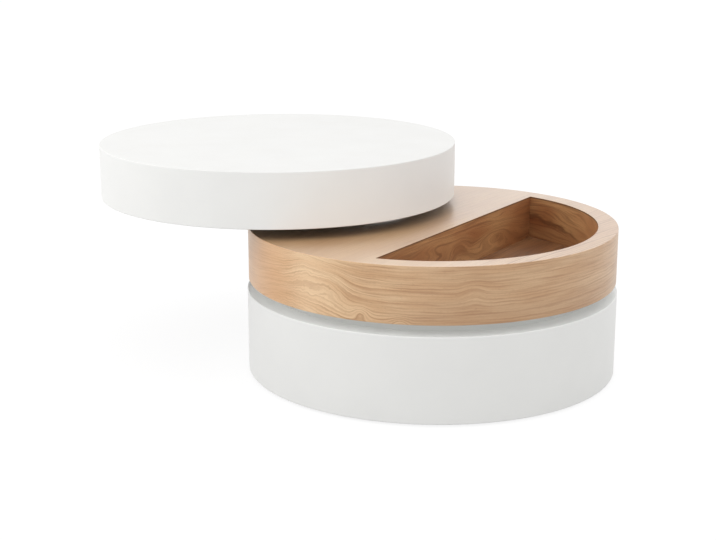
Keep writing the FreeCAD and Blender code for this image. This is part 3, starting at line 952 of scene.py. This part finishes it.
camera_data = bpy.data.cameras.new("camera")
camera_data.sensor_width = sensor_width
camera_data.lens = focal_length / picture_width * sensor_width
camera_data.clip_end = 50.0
camera = bpy.data.objects.new("camera", camera_data)
camera.location = (1.2849, -2.3172, 0.8775)
camera.rotation_euler = (math.pi / 2 - camera_dip, 0.0, camera_turn)
bpy.context.scene.collection.objects.link(camera)
bpy.context.scene.camera = camera

# ---- Studio ----

floor_radius, floor_steps = 14.0, 96
floor_drop = 0.0002  # how far the studio floor lies under the glides
patch_middle = (0.28, -0.35, 0.0)  # middle of the floor's darker patch
patch_core, patch_edge = 0.4, 0.85  # radii between which the patch fades out
room_light = 0.985  # strength of the light from all round


def pale_floor():
    """Wide disc just under the glides: its rim's points (r cos a, r sin a), one level below the glides."""
    mesh = bpy.data.meshes.new("studio_floor")
    angle = np.linspace(0, 2 * math.pi, floor_steps, endpoint=False)
    x, y = floor_radius * np.cos(angle), floor_radius * np.sin(angle)
    points = np.stack([x, y, np.full(floor_steps, -floor_drop)], 1)
    mesh.from_pydata(points.tolist(), [], [list(range(floor_steps))])
    made = bpy.data.objects.new("studio_floor", mesh)
    bpy.context.scene.collection.objects.link(made)
    return made


def seen_rays(b):
    """1 for rays that show the surroundings: to the camera, mirrored, or through something clear."""
    rays = b.put("LightPath").outputs
    seen = b.calc("MAXIMUM", rays["Is Camera Ray"], rays["Is Glossy Ray"])
    return b.calc("MAXIMUM", seen, rays["Is Transmission Ray"])


def pale_floor_finish():
    """Pale matt floor that shows as white, less the object's shadow, and lets a camera under it look through.

    It shows as its own glow plus a trace of matt white, which is what the shadow takes away. In front of the
    object it sends less light back, so that the base darkens a little towards its foot.
    """
    glow_strength, trace_share = 0.86, 0.17
    material, b = empty_material("studio floor")
    place = from_object(b)
    tone = b.mix(b.noise(place, 3.0, 3.0), paint(188, 188, 187), paint(192, 192, 191))
    away = b.put("VectorMath", {0: place, 1: patch_middle}, operation="DISTANCE").outputs["Value"]
    tone = b.mix(b.ramp(away, patch_core, patch_edge, 1.0, 0.0), tone, paint(168, 168, 167))
    matt = b.put("BsdfDiffuse", {"Color": tone}).outputs[0]
    glow = b.put("Emission", {"Color": (1, 1, 1, 1), "Strength": glow_strength}).outputs[0]
    trace = b.put("BsdfDiffuse", {"Color": (trace_share, trace_share, trace_share, 1)}).outputs[0]
    white = b.put("AddShader", {0: glow, 1: trace}).outputs[0]
    shown = b.put("MixShader", {0: seen_rays(b), 1: matt, 2: white}).outputs[0]
    clear = b.put("BsdfTransparent").outputs[0]
    behind = b.put("NewGeometry").outputs["Backfacing"]
    both = b.put("MixShader", {0: behind, 1: shown, 2: clear}).outputs[0]
    b.put("OutputMaterial", {"Surface": both})
    return material


floor = pale_floor()
floor.data.materials.append(pale_floor_finish())

world = bpy.data.worlds.new("studio")
bpy.context.scene.world = world
world.use_nodes = True
world.node_tree.nodes.clear()
sky = Bench(world.node_tree)
room = sky.put("Background", {"Color": (1, 1, 1, 1), "Strength": room_light}).outputs[0]
white = sky.put("Background", {"Color": (1, 1, 1, 1), "Strength": 1.0}).outputs[0]
both_skies = sky.put("MixShader", {0: seen_rays(sky), 1: room, 2: white}).outputs[0]
sky.put("OutputWorld", {"Surface": both_skies})


def softbox(name, place, target, size, power):
    """Square studio lamp that faces a point."""
    data = bpy.data.lights.new(name, "AREA")
    data.size = size
    data.energy = power
    lamp = bpy.data.objects.new(name, data)
    lamp.location = place
    aim = Vector(target) - Vector(place)
    lamp.rotation_euler = aim.to_track_quat("-Z", "Y").to_euler()
    bpy.context.scene.collection.objects.link(lamp)


middle = (-0.18, 0.0, 0.2)
softbox("key lamp", (-1.85, -2.5, 1.5), middle, 1.8, 17.0)
softbox("left lamp", (-3.0, -0.6, 1.2), middle, 2.2, 8.8)
softbox("low lamp", (1.2, -3.0, 0.6), middle, 1.1, 6.8)
softbox("right lamp", (2.9, 0.2, 1.0), middle, 1.5, 5.0)

bpy.context.scene.view_settings.view_transform = "Standard"
